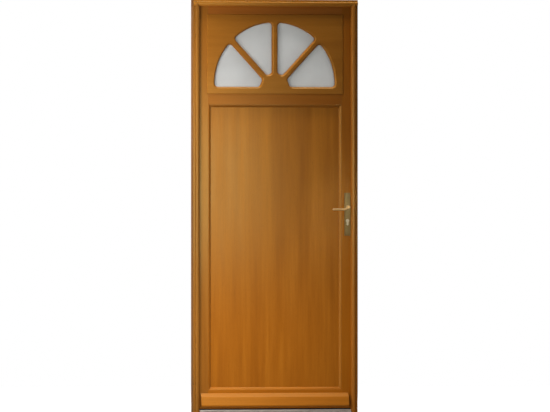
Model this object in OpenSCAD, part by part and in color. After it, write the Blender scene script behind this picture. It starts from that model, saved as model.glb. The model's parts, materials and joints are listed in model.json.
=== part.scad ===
// Glazed wooden entrance door, hung in its frame: a fanlight above a sunk panel, with a lever lock.
// X runs across the door towards the lock, Y from outside to inside, and Z up.
// The origin lies on the floor under the middle of the frame. Lengths are in millimetres.

/* [Frame] */
// Overall width of the frame
frame_w = 869; // [820:1:1000]
// Overall height of the frame
frame_h = 2140; // [2100:1:2300]
// Face width of the jambs and of the head
jamb_w = 35; // [34.5:0.5:50]
// Depth of the rebate that the leaf closes into
rebate_w = 13; // [12:0.5:16]
// Thickness of the stop in front of the leaf
stop_t = 18; // [17:0.5:26]
// Radius of the rounded edge round the opening
frame_round_r = 16; // [8:0.5:17]
// Width of the flat border along the frame's outer edge
border_w = 10.5; // [8:0.5:13]
// Set-back of that border behind the face, which is also the radius of the round beside it
border_drop = 6; // [3:0.5:8]
// Radius of the quirk between the border and that round
quirk_r = 1.5; // [1:0.5:2.5]

/* [Wall fixings] */
// Diameter of the holes for the wall screws
fixing_d = 10; // [8:0.5:12]
// Diameter of the counterbore for their heads
fixing_head_d = 18; // [14:0.5:20]
// Depth of that counterbore
fixing_head_h = 8; // [4:0.5:12]
// Height of the lowest hole above the floor
fixing_low_z = 150; // [110:1:190]
// Distance of the highest hole below the top of the frame
fixing_top_in = 150; // [110:1:190]
// Distance between the two middle holes
fixing_inner_span = 700; // [500:1:760]

/* [Threshold] */
// Overall height of the aluminium threshold
threshold_h = 20; // [18:0.5:24]
// Height of the deck behind its upstand
deck_h = 14; // [12:0.5:15]
// Height of its front and back edges
sill_edge_h = 8; // [6:0.5:9]
// Thickness of the upstand
upstand_t = 4; // [3:0.5:6]
// Depth of the ramp along the inner edge
ramp_w = 22; // [15:0.5:26]
// Wall of the hollow section
sill_wall = 2.2; // [1.6:0.1:3]

/* [Leaf] */
// Thickness of the stiles and rails
leaf_t = 46; // [44:0.5:56]
// Gap between the edge of the leaf and the frame
leaf_gap = 4; // [3:0.25:5]
// Gap between the face of the leaf and the stop, for the gasket
seal_gap = 3; // [2.5:0.25:5]
// Clearance under the leaf, above the threshold
sweep_gap = 7; // [5:0.5:10]
// Width of the stiles
stile_w = 55; // [50:0.5:70]
// Height of the top rail, down to the fanlight
top_rail_h = 49; // [48:0.5:80]
// Height of the middle rail, between the fanlight and the panel
mid_rail_h = 53; // [50:0.5:90]
// Height of the bottom rail
bottom_rail_h = 94; // [88:0.5:140]
// Length of the tenons on the rails
tenon_l = 30; // [20:0.5:32]
// Thickness of the tenons
tenon_t = 14; // [10:0.5:16]
// Set-back of the tenons from the edges of a rail
tenon_shoulder = 10; // [8:0.5:14]

/* [Lower panel] */
// Thickness of the panel
panel_t = 26; // [22:0.5:30]
// Depth of the grooves that hold it
groove_d = 8; // [5:0.5:9]
// Play left in the grooves for the wood to move
panel_play = 1; // [0.5:0.1:2]
// Width of the beads round the panel
bead_w = 15; // [14:0.5:24]
// Width of the flat along the outer edge of a bead
bead_flat = 3; // [2:0.25:4]
// Depth of the quirk beside that flat
bead_quirk = 1; // [0.5:0.25:2.5]
// Thickness of a bead along the edge on the panel
bead_lip = 2; // [1.5:0.25:4]
// Radius of the round of a bead
bead_round_r = 21.5; // [19:0.25:24]
// Slope of that round where it starts, beside the quirk
bead_slope = 15; // [8:0.5:18]

/* [Fanlight] */
// Width by which the fanlight's panels lap over the stiles and rails
fan_lap = 7; // [4:0.5:10]
// Thickness of the part that laps over
fan_lap_t = 14; // [12:0.5:15]
// Height by which the panels stand proud of the leaf
fan_proud = 2; // [1:0.25:4]
// Chamfer round their edges
fan_chamfer = 2.5; // [1:0.25:4]
// Width of the wood beside the lights
fan_side_w = 43.5; // [40:0.5:70]
// Height of the wood above the lights
fan_top_w = 43.5; // [32:0.5:60]
// Height of the centre of the lights' arc above the foot of the panel
fan_arc_z = 53.5; // [46:0.5:60]
// Height of the lights' lower edge above the foot of the panel
fan_base_z = 38; // [34:0.5:44]
// Height of the point that the bars run to above the foot of the panel
fan_hub_z = 29; // [20:0.5:32]
// Angle of the slanting bars above the level
fan_bar_angle = 47.5; // [42:0.5:50]
// Width of the bars between the sight lines of the glass
fan_bar_w = 32; // [27:0.5:40]
// Radius of the hub that the bars meet in
fan_hub_r = 79; // [60:0.5:95]
// Radius of the corners of the lights
fan_corner_r = 17; // [8:0.5:18]
// Radius of the round along the edges of the lights
fan_round_r = 15; // [12:0.5:15.5]
// Slope of that round where it starts, behind a small step
fan_slope = 25; // [15:0.5:30]
// Cover of the wood over the edge of the glass
glass_cover = 13; // [10:0.5:14]
// Play round the glass in its pocket
glass_play = 1; // [0.5:0.1:2]
// Thickness of each pane
glass_t = 4; // [3:0.5:5]
// Width of the spacer bar between the panes
spacer_w = 9; // [6:0.5:11]

/* [Weatherboard] */
// Height of the weatherboard
drip_h = 71; // [60:0.5:85]
// Projection of the weatherboard from the leaf
drip_w = 32; // [26:0.5:45]
// Height of its foot above the foot of the leaf
drip_rise = 8; // [6:0.5:20]
// Clearance between its end on the hinge side and the frame
drip_end_gap = 5; // [4:0.5:10]
// Clearance at its end on the lock side, which swings past the frame
drip_lock_gap = 14; // [10:0.5:20]
// Height of the slope along its top
drip_slope_h = 20; // [14:0.5:26]
// Projection of that slope
drip_slope_w = 22; // [16:0.5:24]
// Radius of the nose along its foot
drip_nose_r = 9; // [6:0.5:12]
// Diameter of the throat that drops the water
throat_d = 7; // [5:0.5:8]

/* [Hinges] */
// Height of the middle of the lowest hinge above the floor
hinge_low_z = 330; // [300:1:400]
// Distance of the middle of the highest hinge below the top of the leaf
hinge_top_in = 269; // [240:1:300]
// Length of a hinge
hinge_l = 140; // [110:1:150]
// Diameter of the knuckles
knuckle_d = 14; // [12:0.5:15]
// Diameter of the pin
hinge_pin_d = 9; // [7:0.5:10]
// Thickness of the plates
hinge_plate_t = 2.5; // [2:0.25:3.5]
// Width of the plates on the wood
hinge_plate_w = 26; // [20:0.5:32]
// Thickness of the washer between the knuckles
washer_t = 2; // [1:0.25:3]
// Clearance between the knuckles and the wood
knuckle_gap = 0.5; // [0.3:0.1:2]

/* [Lock] */
// Distance of the lever and the cylinder from the edge of the leaf
backset = 26.5; // [26:0.25:30]
// Height of the lever's axis above the floor
lever_z = 1067; // [1000:1:1090]
// Distance from the lever's axis down to the cylinder's
lock_pitch = 70; // [68:0.5:92]
// Throw of the latch bolt
latch_throw = 11; // [9:0.25:11.5]
// Throw of the dead bolt
bolt_throw = 20; // [14:0.5:20]
// Thickness of the bolts
bolt_t = 12; // [8:0.25:12]
// Height of the bolts
bolt_h = 24; // [18:0.5:26]
// Width of the faceplate
faceplate_w = 18; // [17.5:0.25:22]
// Thickness of the faceplate
faceplate_t = 3; // [2:0.25:3.5]
// Height of the faceplate
faceplate_h = 210; // [208:0.5:230]
// Thickness of the lock case
case_t = 16; // [15:0.5:18]
// Wall of the lock case
case_wall = 1.5; // [1:0.1:1.6]

/* [Lever set] */
// Width of the backplates
plate_w = 31; // [26:0.5:31]
// Height of the backplates
plate_h = 222; // [210:1:240]
// Thickness of the backplates
plate_t = 7; // [5:0.25:10]
// Chamfer round the backplates
plate_chamfer = 2; // [0.5:0.25:3]
// Length of a lever from its axis to its tip
lever_l = 88; // [70:1:130]
// Projection of a lever's grip from the leaf
lever_reach = 46; // [38:0.5:60]
// Drop of the grip below the axis
lever_drop = 12; // [0:0.5:20]
// Diameter of the lever's neck
neck_d = 16; // [14:0.5:18]
// Height of the grip's section
grip_h = 11; // [9:0.5:16]
// Depth of the grip's section
grip_d = 10; // [8:0.5:14]
// Side of the square spindle
spindle_side = 7; // [6:0.5:8]

/* [Hidden] */
$fn = 48;
// One overrun for every cut
cut = 1;
// Clearance of a turning or sliding piece in its seat
run_gap = 0.05;
// Clearance round wood joints and pockets
fit_gap = 0.2;
// Clearance between pieces that pass each other
pass_gap = 0.5;

wood = [0.66, 0.42, 0.16];
wood_light = [0.72, 0.47, 0.19];
wood_trim = [0.62, 0.38, 0.13];
metal_gold = [0.70, 0.62, 0.42];
metal_steel = [0.66, 0.66, 0.64];
metal_sill = [0.68, 0.64, 0.60];
rubber_black = [0.12, 0.11, 0.10];
glass_tint = [0.78, 0.82, 0.82, 0.45];

// Places across the frame
half_w = frame_w / 2;
sight_x = half_w - jamb_w;
rebate_x = sight_x + rebate_w;
leaf_x = rebate_x - leaf_gap;
open_x = leaf_x - stile_w;
fan_x = open_x + fan_lap;

// The fanlight's arc fills the width between the stiles, and sets the height of its panel
fan_r = fan_x - fan_side_w;
fan_h = fan_arc_z + fan_r + fan_top_w;

// Places through the frame, which the leaf fills from the gasket to the inner face
frame_d = stop_t + seal_gap + leaf_t;
face_y = -frame_d / 2;
back_y = frame_d / 2;
stop_y = face_y + stop_t;
leaf_y = stop_y + seal_gap;
mid_y = leaf_y + leaf_t / 2;

// Places up the frame
sight_z = frame_h - jamb_w;
rebate_z = sight_z + rebate_w;
leaf_top = rebate_z - leaf_gap;
leaf_foot = threshold_h + sweep_gap;
fan_top = leaf_top - top_rail_h;
fan_foot = fan_top - fan_h;
open_top = fan_foot - mid_rail_h;
open_foot = leaf_foot + bottom_rail_h;

// The share of the rounded edge's height that the jambs are coped up to
cope_share = 0.85;

// Gasket along the frame's stop
gasket_stem_t = 3;
gasket_stem_d = 6;
gasket_bulb_d = 5;
gasket_in = 6;

// Sweep under the leaf
sweep_stem_t = 4;
sweep_stem_h = 8;
sweep_fin_t = 3;
sweep_in = 8;
sweep_lift = 0.6;

// Depth of the panel's outer face below the face of the leaf
panel_set = (leaf_t - panel_t) / 2;

// Glazing: a sealed unit of two panes in a pocket at the middle of the leaf
unit_t = leaf_t - 2 * fan_lap_t;
fan_round_steps = 4;
fan_corner_steps = 5;
fan_arc_steps = 12;
fan_hub_steps = 3;

// Screws, as diameters and lengths
hinge_screw_d = 4.5;
hinge_screw_l = 20;
hinge_screw_edge = 15;
hinge_screws_each = 3;
plate_screw_d = 5;
plate_screw_span = 195;
plate_screw_in = 4;
case_screw_d = 4;
case_screw_l = 22;
case_screw_edge = 8;
head_scale = 2;

// Lock places
lock_x = leaf_x - backset;
cylinder_z = lever_z - lock_pitch;
latch_rise = 22;
bolt_rise = 30;
latch_z = lever_z + latch_rise;
bolt_z = cylinder_z + bolt_rise;
case_back_gap = 2;
case_x0 = open_x + groove_d + case_back_gap;
case_x1 = leaf_x - faceplate_t;
case_head_room = 14;
case_foot_room = 56;
case_top = latch_z + bolt_h / 2 + case_head_room;
case_foot = cylinder_z - case_foot_room;
faceplate_drop = 4;
faceplate_z = (case_top + case_foot) / 2 - faceplate_drop;
latch_head_l = 12;
latch_tail_t = 5;
latch_tail_h = 12;
latch_lug_w = 4;
latch_lug_rise = 14;
latch_bevel_flat = 2;
bolt_l = 33;
follower_r = 8;
follower_arm_l = 16;
follower_arm_w = 6;
follower_arm_angle = 25;
follower_arm_gap = 0.8;
lever_hole_d = 17;

// Strike plate on the lock jamb
strike_t = 2.5;
strike_w = 22;
strike_h = 150;
strike_z = (latch_z + bolt_z) / 2;
strike_pocket_gap = 1;
strike_screw_edge = 9;

// Profile cylinder
cylinder_r = 8.5;
cylinder_web_w = 10;
cylinder_drop = 24.5;
cylinder_proud = 3;
plug_r = 6.5;
keyway_w = 2;
keyway_h = 8;
keyway_l = 18;
cam_t = 9;
cam_r = 8;
cam_reach = 12.4;
cam_tooth_w = 6;
cylinder_screw_d = 5;
cylinder_screw_drop = 18;

// Lever set
plate_drop = 2;
plate_z = (lever_z + cylinder_z) / 2 - plate_drop;
collar_d = 20;
collar_h = 3;
spindle_in = 24;
grip_tip_share = 0.08;

// Hinge places: the pin stands clear of the inner face, midway across the gap beside the leaf
hinge_x = -(leaf_x + rebate_x) / 2;
hinge_y = back_y + knuckle_d / 2 + knuckle_gap;
hinge_high_z = leaf_top - hinge_top_in;
hinge_heights = [hinge_low_z, (hinge_low_z + hinge_high_z) / 2, hinge_high_z];
hinge_names = ["bottom", "middle", "top"];
sides = ["bottom", "top", "hinge", "lock"];

// Shapes that several pieces share

// A box between pairs of limits
module slab(x, y, z) {
    translate([x[0], y[0], z[0]]) cube([x[1] - x[0], y[1] - y[0], z[1] - z[0]]);
}

// Mirrors what belongs to the outer face to the inner face of the leaf
module on_inside() {
    translate([0, 2 * mid_y, 0]) mirror([0, 1, 0]) children();
}

// Extrudes a section drawn in Y and Z along X, centred
module along_x(length) {
    translate([-length / 2, 0, 0]) rotate([90, 0, 90]) linear_extrude(length) children();
}

// A bar along Y from y0 to y1 at a place in X and Z
module bar_y(x, z, y, d) {
    translate([x, y[0], z]) rotate([-90, 0, 0]) cylinder(d = d, h = y[1] - y[0]);
}

// A bar along X between two limits at a place in Y and Z
module bar_x(x, y, z, d) {
    translate([x[0], y, z]) rotate([0, 90, 0]) cylinder(d = d, h = x[1] - x[0]);
}

// A countersunk screw along +Z with its head's face at the origin, so that it points down
module screw(d, length) {
    head_h = d * (head_scale - 1) / 2;
    translate([0, 0, -length]) cylinder(d = d, h = length - head_h);
    translate([0, 0, -head_h]) cylinder(d1 = d, d2 = d * head_scale, h = head_h);
}

// A board of this width and height, centred on X and standing on Z, with its front edges chamfered
module chamfered_board(w, h, t, chamfer) {
    intersection() {
        linear_extrude(h) polygon([
            [-w / 2 + chamfer, 0], [w / 2 - chamfer, 0], [w / 2, chamfer],
            [w / 2, t], [-w / 2, t], [-w / 2, chamfer]
        ]);
        along_x(w) polygon([[0, chamfer], [chamfer, 0], [t, 0], [t, h], [chamfer, h], [0, h - chamfer]]);
    }
}

// Frame

// Section of the frame: the first axis runs from its outer edge to the opening, the second from face to back
module frame_section(rebated) {
    difference() {
        square([jamb_w, frame_d]);
        translate([-cut, -cut]) square([border_w + cut, border_drop + cut]);
        translate([border_w, border_drop]) circle(quirk_r);
        difference() {
            translate([border_w - cut, -cut]) square(border_drop + cut);
            translate([border_w + border_drop, border_drop]) circle(border_drop);
        }
        difference() {
            translate([jamb_w - frame_round_r, -cut]) square([frame_round_r + cut, frame_round_r + cut]);
            translate([jamb_w - frame_round_r, frame_round_r]) circle(frame_round_r);
        }
        if (rebated) {
            translate([jamb_w - rebate_w, stop_t]) square([rebate_w + cut, frame_d]);
            translate([jamb_w - gasket_in - gasket_stem_t / 2, stop_t - gasket_stem_d])
                square([gasket_stem_t, gasket_stem_d + cut]);
        }
    }
}

module head_prism(rebated) {
    translate([-half_w, face_y, frame_h]) rotate([0, 90, 0]) linear_extrude(frame_w) frame_section(rebated);
}

// The space between the jambs' rebates, under the head's own
module head_rebate() {
    slab([-rebate_x, rebate_x], [stop_y, back_y + cut], [sight_z - cut, rebate_z]);
}

// Tenon at the top of a jamb, on the lock side
module jamb_tenon(gap) {
    inset = (jamb_w - rebate_w) / 4;
    slab(
        [rebate_x + inset - gap, half_w - inset + gap],
        [stop_y + inset - gap, back_y - inset + gap],
        [sight_z - cut, rebate_z + gap]
    );
}

module frame_head() {
    color(wood_light) difference() {
        head_prism(false);
        head_rebate();
        slab(
            [-sight_x, sight_x],
            [stop_y - gasket_stem_d, stop_y + cut],
            [sight_z + gasket_in - gasket_stem_t / 2, sight_z + gasket_in + gasket_stem_t / 2]
        );
        jamb_tenon(fit_gap);
        mirror([1, 0, 0]) jamb_tenon(fit_gap);
    }
}

// Heights of the wall fixings, as the outer pair and the inner pair
fixing_outer_span = frame_h - fixing_low_z - fixing_top_in;
fixing_mid_z = fixing_low_z + fixing_outer_span / 2;
fixing_heights = [
    for (span = [fixing_outer_span, fixing_inner_span]) for (side = [-1, 1]) fixing_mid_z + side * span / 2
];

// Jamb on the lock side, coped to the head and drilled for the wall
module plain_jamb() {
    difference() {
        translate([half_w, face_y, 0]) mirror([1, 0, 0])
            linear_extrude(sight_z + frame_round_r * cope_share) frame_section(true);
        head_prism(false);
        for (z = fixing_heights) {
            bar_x([rebate_x - cut, half_w + cut], mid_y, z, fixing_d);
            bar_x([rebate_x - cut, rebate_x + fixing_head_h], mid_y, z, fixing_head_d);
        }
    }
    jamb_tenon(0);
}

module lock_jamb() {
    color(wood_light) difference() {
        plain_jamb();
        strike_outline(rebate_x - cut, 0);
        strike_pocket(latch_z, latch_throw);
        strike_pocket(bolt_z, bolt_throw);
        strike_screw_shapes();
    }
}

module hinge_jamb() {
    color(wood_light) difference() {
        mirror([1, 0, 0]) plain_jamb();
        for (z = hinge_heights) {
            hinge_plate_shape(z, -rebate_x - hinge_plate_t, back_y + cut);
            hinge_screws_of(z, -rebate_x, 180);
        }
    }
}

// Section of the aluminium threshold in Y and Z, solid
module sill_outline() {
    polygon([
        [face_y, 0], [back_y, 0], [back_y, sill_edge_h], [back_y - ramp_w, deck_h], [stop_y, deck_h],
        [stop_y, threshold_h], [stop_y - upstand_t, threshold_h], [stop_y - upstand_t, deck_h],
        [face_y, sill_edge_h]
    ]);
}

module threshold() {
    color(metal_sill) difference() {
        along_x(2 * rebate_x) sill_outline();
        along_x(2 * rebate_x + cut) {
            translate([stop_y + sill_wall, sill_wall])
                square([back_y - ramp_w - stop_y - 2 * sill_wall, deck_h - 2 * sill_wall]);
            translate([face_y + sill_wall, sill_wall])
                square([stop_t - upstand_t - 2 * sill_wall, sill_edge_h - 2 * sill_wall]);
        }
        for (side = [-1, 1]) translate([side * (sight_x + rebate_w), 0, 0])
            slab([-rebate_w, rebate_w], [face_y - cut, stop_y], [-cut, threshold_h + cut]);
    }
}

// Section of the stop's gasket: a stem in its groove and a bulb that the leaf presses on
module gasket_section() {
    translate([-gasket_stem_t / 2, -gasket_stem_d]) square([gasket_stem_t, gasket_stem_d]);
    intersection() {
        circle(d = gasket_bulb_d);
        translate([-gasket_bulb_d / 2, 0]) square([gasket_bulb_d, gasket_bulb_d]);
    }
}

module jamb_gasket() {
    color(rubber_black) translate([sight_x + gasket_in, stop_y, threshold_h])
        linear_extrude(sight_z - threshold_h) gasket_section();
}

module head_gasket() {
    color(rubber_black) translate([-sight_x, stop_y, sight_z + gasket_in])
        rotate([0, 90, 0]) linear_extrude(2 * sight_x) gasket_section();
}

// Strike plate

module strike_outline(x0, gap) {
    slab(
        [x0, rebate_x + strike_t],
        [mid_y - strike_w / 2 - gap, mid_y + strike_w / 2 + gap],
        [strike_z - strike_h / 2 - gap, strike_z + strike_h / 2 + gap]
    );
}

// Room for a bolt in the strike plate and in the jamb behind it
module strike_pocket(z, throw) {
    slab(
        [rebate_x - cut, leaf_x + throw + strike_pocket_gap],
        [mid_y - bolt_t / 2 - strike_pocket_gap, mid_y + bolt_t / 2 + strike_pocket_gap],
        [z - bolt_h / 2 - strike_pocket_gap, z + bolt_h / 2 + strike_pocket_gap]
    );
}

module strike_screw_shapes() {
    for (side = [-1, 1])
        translate([rebate_x, mid_y, strike_z + side * (strike_h / 2 - strike_screw_edge)])
            rotate([0, -90, 0]) screw(case_screw_d, case_screw_l);
}

module strike_plate() {
    color(metal_steel) difference() {
        strike_outline(rebate_x, 0);
        strike_pocket(latch_z, latch_throw);
        strike_pocket(bolt_z, bolt_throw);
        strike_screw_shapes();
    }
}

module strike_screws() {
    color(metal_steel) strike_screw_shapes();
}

// Hinges

// A hinge's plate, let into the wood from x0 and running to the knuckle
module hinge_plate_shape(z, x0, y1) {
    slab([x0, x0 + hinge_plate_t], [back_y - hinge_plate_w, y1], [z - hinge_l / 2, z + hinge_l / 2]);
}

// Screws of one hinge plate, with their heads at x; turned by 0 they point to +X, by 180 to -X
module hinge_screws_of(z, x, turn) {
    pitch = (hinge_l - 2 * hinge_screw_edge) / (hinge_screws_each - 1);
    for (i = [0 : hinge_screws_each - 1])
        translate([x, back_y - hinge_plate_w / 2, z - hinge_l / 2 + hinge_screw_edge + i * pitch])
            rotate([0, -90 + turn, 0]) screw(hinge_screw_d, hinge_screw_l);
}

module knuckle(z0, z1) {
    translate([hinge_x, hinge_y, z0]) cylinder(d = knuckle_d, h = z1 - z0);
}

module hinge_bore(z0, z1, d) {
    translate([hinge_x, hinge_y, z0]) cylinder(d = d, h = z1 - z0);
}

// Lower half of a hinge, on the frame
module hinge_frame_half(z) {
    color(metal_gold) difference() {
        union() {
            hinge_plate_shape(z, -rebate_x - hinge_plate_t, back_y);
            slab(
                [-rebate_x - hinge_plate_t, -rebate_x],
                [back_y, hinge_y],
                [z - hinge_l / 2, z - washer_t / 2]
            );
            knuckle(z - hinge_l / 2, z - washer_t / 2);
        }
        hinge_bore(z - hinge_l / 2 - cut, z, hinge_pin_d);
        hinge_screws_of(z, -rebate_x, 180);
    }
}

// Upper half of a hinge, on the leaf
module hinge_leaf_half(z) {
    color(metal_gold) difference() {
        union() {
            hinge_plate_shape(z, -leaf_x, back_y);
            slab(
                [-leaf_x, -leaf_x + hinge_plate_t],
                [back_y, hinge_y],
                [z + washer_t / 2, z + hinge_l / 2]
            );
            knuckle(z + washer_t / 2, z + hinge_l / 2);
        }
        hinge_bore(z, z + hinge_l / 2 - washer_t, hinge_pin_d + 2 * run_gap);
        hinge_screws_of(z, -leaf_x, 0);
    }
}

module hinge_pin(z) {
    color(metal_steel) hinge_bore(z - hinge_l / 2, z + hinge_l / 2 - washer_t - pass_gap, hinge_pin_d);
}

module hinge_washers() {
    color(metal_gold) for (z = hinge_heights) difference() {
        knuckle(z - washer_t / 2, z + washer_t / 2);
        hinge_bore(z - washer_t, z + washer_t, hinge_pin_d + 2 * run_gap);
    }
}

module hinge_frame_screws() {
    color(metal_gold) for (z = hinge_heights) hinge_screws_of(z, -rebate_x, 180);
}

module hinge_leaf_screws() {
    color(metal_gold) for (z = hinge_heights) hinge_screws_of(z, -leaf_x, 0);
}

// Leaf: stiles and rails

// A tenon between two heights, on both ends of a rail
module rail_tenons(z0, z1, gap) {
    slab(
        [-open_x - tenon_l - gap, open_x + tenon_l + gap],
        [mid_y - tenon_t / 2 - gap, mid_y + tenon_t / 2 + gap],
        [z0 + tenon_shoulder - gap, z1 - tenon_shoulder + gap]
    );
}

top_rail_z = [fan_top - fan_lap, leaf_top];
mid_rail_z = [open_top, fan_foot + fan_lap];
bottom_rail_z = [leaf_foot, open_foot];

module all_tenons(gap) {
    for (z = [top_rail_z, mid_rail_z, bottom_rail_z]) rail_tenons(z[0], z[1], gap);
}

// The laps that the fanlight's two panels close over, cut from the face and the back of the leaf
module fan_laps() {
    for (y = [[leaf_y - cut, leaf_y + fan_lap_t], [leaf_y + leaf_t - fan_lap_t, leaf_y + leaf_t + cut]])
        slab([-fan_x, fan_x], y, [fan_foot, fan_top]);
}

// The panel with its edges in the grooves, grown by a gap
module panel_shape(gap) {
    edge = groove_d - panel_play + gap;
    slab(
        [-open_x - edge, open_x + edge],
        [leaf_y + panel_set, leaf_y + panel_set + panel_t],
        [open_foot - edge, open_top + edge]
    );
}

// Stile on the lock side, before the ironmongery
module plain_stile() {
    difference() {
        slab([open_x, leaf_x], [leaf_y, leaf_y + leaf_t], [leaf_foot, leaf_top]);
        fan_laps();
        panel_shape(panel_play);
        all_tenons(fit_gap);
        sweep_stem();
    }
}

module hinge_stile() {
    color(wood) difference() {
        mirror([1, 0, 0]) plain_stile();
        for (z = hinge_heights) {
            hinge_plate_shape(z, -leaf_x, back_y + cut);
            hinge_screws_of(z, -leaf_x, 0);
        }
    }
}

module lock_stile() {
    color(wood) difference() {
        plain_stile();
        lock_pocket();
        bar_y(lock_x, lever_z, [leaf_y - cut, leaf_y + leaf_t + cut], lever_hole_d);
        cylinder_shape([leaf_y - cut, leaf_y + leaf_t + cut], pass_gap);
        backplate_bolt_bars(plate_screw_d);
        faceplate_screw_shapes();
    }
}

module rail(z) {
    slab([-open_x, open_x], [leaf_y, leaf_y + leaf_t], z);
    rail_tenons(z[0], z[1], 0);
}

module top_rail() {
    color(wood) difference() {
        rail(top_rail_z);
        fan_laps();
    }
}

module middle_rail() {
    color(wood) difference() {
        rail(mid_rail_z);
        fan_laps();
        panel_shape(panel_play);
    }
}

module bottom_rail() {
    color(wood) difference() {
        rail(bottom_rail_z);
        panel_shape(panel_play);
        sweep_stem();
    }
}

// The sweep's stem, which fills its groove along the foot of the leaf
module sweep_stem() {
    slab(
        [-leaf_x, leaf_x],
        [leaf_y + sweep_in, leaf_y + sweep_in + sweep_stem_t],
        [leaf_foot, leaf_foot + sweep_stem_h]
    );
}

module bottom_sweep() {
    color(rubber_black) {
        sweep_stem();
        slab(
            [-leaf_x, leaf_x],
            [leaf_y + sweep_in, leaf_y + sweep_in + sweep_fin_t],
            [deck_h + sweep_lift, leaf_foot]
        );
    }
}

// Lower panel and its beads

module lower_panel() {
    color(wood_light) panel_shape(0);
}

// Section of a bead in Y and Z, with the panel's face at zero and the wood's edge along the second axis
module bead_section() {
    round_y = bead_round_r * cos(bead_slope) + bead_quirk - panel_set;
    round_z = bead_flat - bead_round_r * sin(bead_slope);
    translate([-panel_set, 0]) square([panel_set, bead_flat]);
    translate([-bead_lip, 0]) square([bead_lip, bead_w]);
    intersection() {
        translate([round_y, round_z]) circle(bead_round_r);
        translate([-panel_set, bead_flat]) square([panel_set, bead_w - bead_flat]);
    }
}

// A bead with mitred ends, lying along X on the panel's face at the origin
module bead(length) {
    intersection() {
        along_x(length) bead_section();
        translate([0, cut, 0]) rotate([90, 0, 0]) linear_extrude(panel_set + 2 * cut) polygon([
            [-length / 2, 0], [length / 2, 0], [length / 2 - bead_w, bead_w], [-length / 2 + bead_w, bead_w]
        ]);
    }
}

// The four beads on the outer face, named by side
module outer_bead(side) {
    mid_z = (open_top + open_foot) / 2;
    level = side == "bottom" || side == "top";
    turn = side == "bottom" ? 0 : side == "top" ? 180 : side == "hinge" ? 90 : -90;
    reach = level ? (open_top - open_foot) / 2 : open_x;
    length = level ? 2 * open_x : open_top - open_foot;
    color(wood_trim) translate([0, leaf_y + panel_set, mid_z]) rotate([0, turn, 0])
        translate([0, 0, -reach]) bead(length);
}

// Fanlight

// A point of the fanlight as seen from outside, in X and Z
fan_hub = [0, fan_foot + fan_hub_z];
fan_centre = [0, fan_foot + fan_arc_z];
base_half_w = fan_base_z - fan_hub_z;
bar_angles = [0, fan_bar_angle, 90, 180 - fan_bar_angle, 180];
bar_half_w = [base_half_w, fan_bar_w / 2, fan_bar_w / 2, fan_bar_w / 2, base_half_w];

function heading(a) = [cos(a), sin(a)];
function turned(v) = let (a = atan2(v[1], v[0])) a < -90 ? a + 360 : a;

// Centre of a light's corner beside a bar: side 1 lies after the bar, side -1 before it
function corner_line(i, side) =
    fan_hub + heading(bar_angles[i] + side * 90) * (bar_half_w[i] + fan_corner_r);
// Distance along a heading from a point to where it is at a radius from a centre
function along_to(p, dir, centre, r) =
    let (d = p - centre, b = d * dir) -b + sqrt(b * b - d * d + r * r);
function corner_at(i, side, centre, r) =
    let (p = corner_line(i, side), dir = heading(bar_angles[i])) p + dir * along_to(p, dir, centre, r);
function outer_corner(i, side) = corner_at(i, side, fan_centre, fan_r - fan_corner_r);
function hub_corner(i, side) = corner_at(i, side, fan_hub, fan_hub_r + fan_corner_r);

function arc(centre, r, a0, a1, steps) =
    [for (k = [0 : steps]) centre + heading(a0 + (a1 - a0) * k / steps) * r];
function inner_points(list) = [for (k = [1 : len(list) - 2]) list[k]];

// Outline of light i, from bar i to bar i + 1, grown by a distance
function light_outline(i, grow) =
    let (
        h0 = hub_corner(i, 1), o0 = outer_corner(i, 1),
        o1 = outer_corner(i + 1, -1), h1 = hub_corner(i + 1, -1),
        r = fan_corner_r + grow,
        down = bar_angles[i] - 90, up = bar_angles[i + 1] + 90,
        a0 = turned(o0 - fan_centre), a1 = turned(o1 - fan_centre),
        b0 = turned(h0 - fan_hub), b1 = turned(h1 - fan_hub)
    )
    concat(
        arc(h0, r, b0 - 180, down, fan_corner_steps),
        arc(o0, r, down, a0, fan_corner_steps),
        inner_points(arc(fan_centre, fan_r + grow, a0, a1, fan_arc_steps)),
        arc(o1, r, a1, up, fan_corner_steps),
        arc(h1, r, up, b1 + 180, fan_corner_steps),
        inner_points(arc(fan_hub, fan_hub_r - grow, b1, b0, fan_hub_steps))
    );

// Point of the round along a light, where it slopes by a: depth from the face and growth of the outline
function round_section(a) = fan_round_r * [1 - cos(a), 1 - sin(a)];
// Sections of the cut through one light, as such points
light_sections = concat(
    [[-cut, round_section(fan_slope)[1]]],
    [
        for (k = [0 : fan_round_steps])
            round_section(fan_slope + (90 - fan_slope) * k / fan_round_steps)
    ],
    [[fan_proud + leaf_t, 0]]
);

// Solid that cuts light i out of a panel whose face lies at the plane y
module light_cut(i, y) {
    rings = [for (s = light_sections) [for (p = light_outline(i, s[1])) [p[0], y + s[0], p[1]]]];
    n = len(rings[0]);
    last = len(rings) - 1;
    points = [for (ring = rings) each ring];
    sides_of = [
        for (k = [0 : last - 1]) for (j = [0 : n - 1])
            let (m = (j + 1) % n) [k * n + j, k * n + m, (k + 1) * n + m, (k + 1) * n + j]
    ];
    front = [for (j = [0 : n - 1]) n - 1 - j];
    back = [for (j = [0 : n - 1]) last * n + j];
    polyhedron(points, concat(sides_of, [front, back]), convexity = 4);
}

// Outline of the glass in X and Z: a half moon, grown by a distance
module glass_outline(grow) {
    cover = glass_cover + grow;
    intersection() {
        translate(fan_centre) circle(fan_r + cover);
        translate([-half_w, fan_foot + fan_base_z - cover]) square([frame_w, fan_h]);
    }
}

// A plate of the glass's outline between two depths
module glass_plate(y, grow) {
    translate([0, y[1], 0]) rotate([90, 0, 0]) linear_extrude(y[1] - y[0]) glass_outline(grow);
}

// A board over the fanlight's laps, with its four lights cut
module fan_face(t) {
    face = leaf_y - fan_proud;
    difference() {
        translate([0, face, fan_foot]) chamfered_board(2 * fan_x, fan_h, t, fan_chamfer);
        for (i = [0 : 3]) light_cut(i, face);
    }
}

glass_y = leaf_y + fan_lap_t;

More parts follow.
